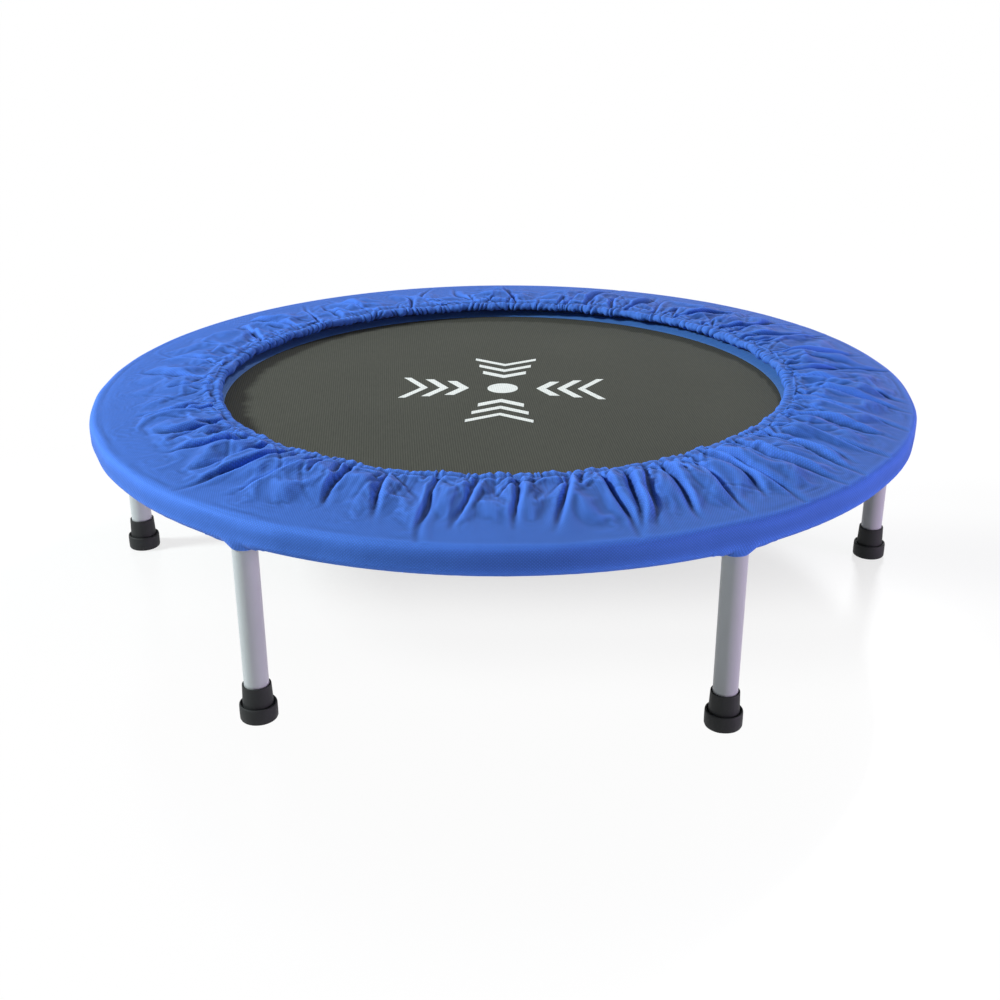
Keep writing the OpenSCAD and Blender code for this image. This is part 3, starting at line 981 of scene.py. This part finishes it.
def makeMat():
    s = matSizes
    angles = roundAngles(360)
    rows = []
    for r in [*np.linspace(s["hub"], s["inner"], 34), *np.linspace(s["edge"], s["r"], 8)]:
        rows.append(roundGrid(r + scallop(angles) * ease((r - 0.31) / 0.04), angles, s["top"]))
    for out, down in ((0.0002, -0.0004), (0.0002, -0.0009), (-0.0001, -0.00135)):
        rows.append(roundGrid(s["r"] + out + scallop(angles), angles, s["top"] + down))
    for r in np.linspace(s["under"], s["hub"], 12):
        rows.append(roundGrid(r, angles, s["low"]))
    points, faces = cappedGrid(np.array(rows), [0, 0, s["top"]], [0, 0, s["low"]])
    mat = addPiece("mat_cloth", points, [face[::-1] for face in faces], "mat")
    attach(mat, "mat")
    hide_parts("jump_mat")


makeMat()

# the tape stands up a little towards its outer edge
bandLine = [(0.33310, 0.21622), (0.33292, 0.21645), (0.33290, 0.21680), (0.33315, 0.21705),
            (0.33480, 0.21728), (0.33540, 0.21722), (0.33600, 0.21748), (0.33850, 0.21795),
            (0.34150, 0.21870), (0.34350, 0.21930), (0.34560, 0.21995), (0.34620, 0.22000),
            (0.34680, 0.22035), (0.34880, 0.22085), (0.34950, 0.22075), (0.34970, 0.22035),
            (0.34940, 0.21990), (0.34700, 0.21925), (0.34400, 0.21830), (0.34100, 0.21740),
            (0.33800, 0.21665), (0.33500, 0.21625)]


def bandWobble(angles, radius, height):
    edge = ease((radius - 0.330) / 0.02)
    pucker = 0.00008 * softNoise(angles, 120, 300, 52)
    return radius + scallop(angles) * edge, height + pucker


band = ringSection("edge_band", bandLine, 1440, "band", bandWobble)
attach(band, "mat")
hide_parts("mat_edge_band")

webSizes = {"r": 0.34, "thick": 0.0012, "flatZ": 0.21455, "deepZ": 0.2107,
            "barR": 0.342, "barHalf": 0.0170, "slope": 0.006}
# how deep the tape lies from its inner edge out, where it wraps a bar
webLine = [(0.3275, 0.0), (0.3310, 0.05), (0.3345, 0.25), (0.3370, 0.72), (0.3390, 1.0),
           (0.3440, 1.0), (0.3464, 0.92), (0.3484, 0.75), (0.3490, 0.55)]


def makeWebbing():
    # a tape under the edge: it wraps each wire ring's bar and is sewn flat between two rings
    s = webSizes
    angles = roundAngles(1080)
    step = fullTurn / springCount
    off = np.abs((angles % step) - step / 2) * s["barR"]
    pocket = 1 - ease((off - s["barHalf"]) / s["slope"])
    top = [roundGrid(r, angles, mix(s["flatZ"], s["deepZ"], pocket * deep)) for r, deep in webLine]
    low = [row - (0, 0, s["thick"]) for row in top[::-1]]
    grid = np.array(top + low)
    tape = gridPiece("edge_tape", grid, "webbing", fullTurn * s["r"],
                     np.linspace(0, 0.05, len(grid)), closeRows=True)
    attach(tape, "mat")
    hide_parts("edge_webbing")


makeWebbing()


stitchSizes = {    # finish, slot, radius, height, step, length and thickness
    "band_stitches_in": ("thread", "band_webbing", 0.3354, 0.21735, 0.0042, 0.0030, 0.00022),
    "band_stitches_out": ("thread", "band_webbing", 0.3462, 0.22022, 0.0042, 0.0030, 0.00022),
    "tape_stitches": ("darkThread", "black_webbing", 0.3295, 0.21320, 0.0045, 0.0032, 0.00025),
}


def makeStitches(name):
    # a sewn line round the middle, each stitch a short rounded thread
    finish, slot, radius, z, step, length, thick = stitchSizes[name]
    count = int(fullTurn * radius / step)
    points, faces = [], []
    shares = np.linspace(-0.5, 0.5, 5)
    wide = thick * np.array([0.45, 0.9, 1.0, 0.9, 0.45])
    for a in roundAngles(count):
        ahead = np.array([-math.sin(a), math.cos(a), 0])
        middle = np.array([math.cos(a) * radius, math.sin(a) * radius, z])
        path = [middle + ahead * share * length - (0, 0, thick * 0.9 * (2 * share) ** 2)
                for share in shares]
        faces += tubeFaces(5, 6, len(points))
        points += tubePoints(path, wide, 6, 0.7).reshape(-1, 3).tolist()
    seam = addPiece(name, points, faces, finish)
    co = np.array(points)
    loops = np.zeros(len(seam.data.loops), np.int32)
    seam.data.loops.foreach_get("vertex_index", loops)
    addClothMap(seam, np.stack([np.arctan2(co[loops, 1], co[loops, 0]) * radius,
                                co[loops, 2]], -1))
    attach(seam, "mat")


for name in stitchSizes:
    makeStitches(name)

printSizes = {
    "disc": 0.0185, "thick": 0.00022, "gap": 0.00004,   # the dot, the ink, and its rise
    "tips": (0.041, 0.066, 0.091),                      # how far out each chevron begins
    "arm": 0.027, "wide": 0.0115, "slope": 0.62,
    "grow": 0.22, "slim": 0.12,                         # how each next chevron differs
}


def makePrint():
    # four rows of plain chevrons that point to a dot in the middle
    s = printSizes
    z = matSizes["top"] + s["gap"]
    points, faces = [], []

    def addOutline(outline):
        faces.extend(tubeFaces(2, len(outline), len(points)))
        points.extend([(x, y, z + up) for up in (0, s["thick"]) for x, y in outline])

    addOutline([(s["disc"] * math.cos(t), s["disc"] * math.sin(t)) for t in roundAngles(96)])
    for quarter in range(4):
        turn = quarter * math.pi / 2
        for n, tip in enumerate(s["tips"]):
            arm, wide = s["arm"] * (1 + s["grow"] * n), s["wide"] * (1 - s["slim"] * n)
            end = tip + arm * s["slope"]
            shape = [(tip, 0), (end, arm), (end + wide, arm), (tip + wide, 0), (end + wide, -arm),
                     (end, -arm)]
            middle = [(x * math.cos(turn) - y * math.sin(turn),
                       x * math.sin(turn) + y * math.cos(turn)) for x, y in shape]
            # two arms, so that each outline is convex
            addOutline([middle[i] for i in (0, 3, 2, 1)])
            addOutline([middle[i] for i in (5, 4, 3, 0)])
    mark = addPiece("centre_print", points, faces, "ink", smooth=False)
    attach(mark, "mat")


makePrint()
print("mat, edge and print made")


springSizes = {"wire": 0.0013, "coil": 0.00475, "coilIn": 0.3745, "coilOut": 0.4445, "z": 0.2126,
               "turns": 25, "points": 12, "hook": 0.004, "ringIn": 0.4505, "ringOut": 0.4560}


def springPath():
    # along +x: inner hook, coil, outer hook that drops into the ring's hole
    s = springSizes
    middle = s["coil"] - s["wire"]
    loopC = s["coilIn"] - s["hook"]
    inner = [(loopC + s["hook"] * math.cos(a), 0.0, s["z"] + s["hook"] * math.sin(a))
             for a in np.radians(np.linspace(300, 60, 15))]
    steps = s["turns"] * s["points"]
    coil = []
    for n in range(steps + 1):
        a = math.pi / 2 + n * fullTurn / s["points"]
        x = mix(s["coilIn"] + s["wire"], s["coilOut"] - s["wire"], n / steps)
        coil.append((x, middle * math.cos(a), s["z"] + middle * math.sin(a)))
    hook = [(s["coilOut"] + 0.001, 0.0030), (s["coilOut"] + 0.003, 0.0036),
            (s["ringIn"] + 0.001, 0.0034), (s["ringIn"] + 0.0035, 0.0022),
            (s["ringOut"], -0.0004), (s["ringOut"] - 0.0006, -0.0030)]
    return np.array(inner + coil + [(x, 0.0, s["z"] + up) for x, up in hook])


def makeSprings():
    s = springSizes
    path = springPath()
    sides = 7
    points = tubePoints(path, s["wire"], sides).reshape(-1, 3)
    faces = tubeFaces(len(path), sides)
    for n in range(springCount):
        a = (n + 0.5) * fullTurn / springCount
        turn = np.array([[math.cos(a), math.sin(a), 0], [-math.sin(a), math.cos(a), 0], [0, 0, 1]])
        spring = addPiece("spring_%02d" % (n + 1), points @ turn, faces, "spring")
        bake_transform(spring)
        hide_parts("springs")


makeSprings()
print("springs made")


footSizes = {"seam": 0.00012, "uneven": 0.00006, "columns": 96}
footLine = [(0, 0.0010), (0.0099, 0.0010), (0.0099, 0.0), (0.0114, 0.0), (0.0114, 0.0010),
            (0.0129, 0.0010), (0.0131, 0.0), (0.0172, 0.0), (0.0184, 0.0005), (0.0190, 0.0018),
            (0.0191, 0.0085), (0.0190, 0.0155), (0.0187, 0.0169), (0.0180, 0.0175),
            (0.0172, 0.0173), (0.0166, 0.0162), (0.0163, 0.0152), (0.0158, 0.0150),
            (0.0155, 0.0158), (0.0154, 0.0180), (0.0151, 0.0260), (0.0147, 0.0350),
            (0.0146, 0.0376), (0.0144, 0.0386), (0.0139, 0.0390), (0.0134, 0.0387),
            (0.01300, 0.0374), (0.01275, 0.0350), (0.01265, 0.0300), (0.01260, 0.0072),
            (0.0125, 0.00695), (0, 0.00695)]


def makeFeet():
    s = footSizes
    for n, angle in enumerate(legAngles):
        middle = (legR * math.cos(angle), legR * math.sin(angle))

        def seamed(angles, radius, height):
            # two mould lines on the outside, and a trace of unevenness
            off = np.abs((angles - angle + math.pi / 2) % math.pi - math.pi / 2)
            line = s["seam"] * np.exp(-(off / 0.05) ** 2) * (radius > 0.014)
            return radius + line + s["uneven"] * softNoise(angles, 2, 9, 60 + n), height

        foot = turnedPiece("foot_%d" % (n + 1), footLine, middle, "rubber",
                           s["columns"], seamed)
        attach(foot, "leg_%d" % (n + 1))
        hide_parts("rubber_foot_%d" % (n + 1))


makeFeet()
print("feet made")


def dress(node, finish):
    # the steel pieces keep their solids and get a finish
    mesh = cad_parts[node].data
    mesh.materials.clear()
    mesh.materials.append(finishes[finish])


dress("frame_ring", "ring")
dress("leg_studs", "zinc")
dress("v_rings", "zinc")
for n in range(1, 7):
    dress("leg_boss_%d" % n, "ring")
    dress("leg_tube_%d" % n, "leg")
    dress("leg_insert_%d" % n, "zinc")
print("steel dressed")
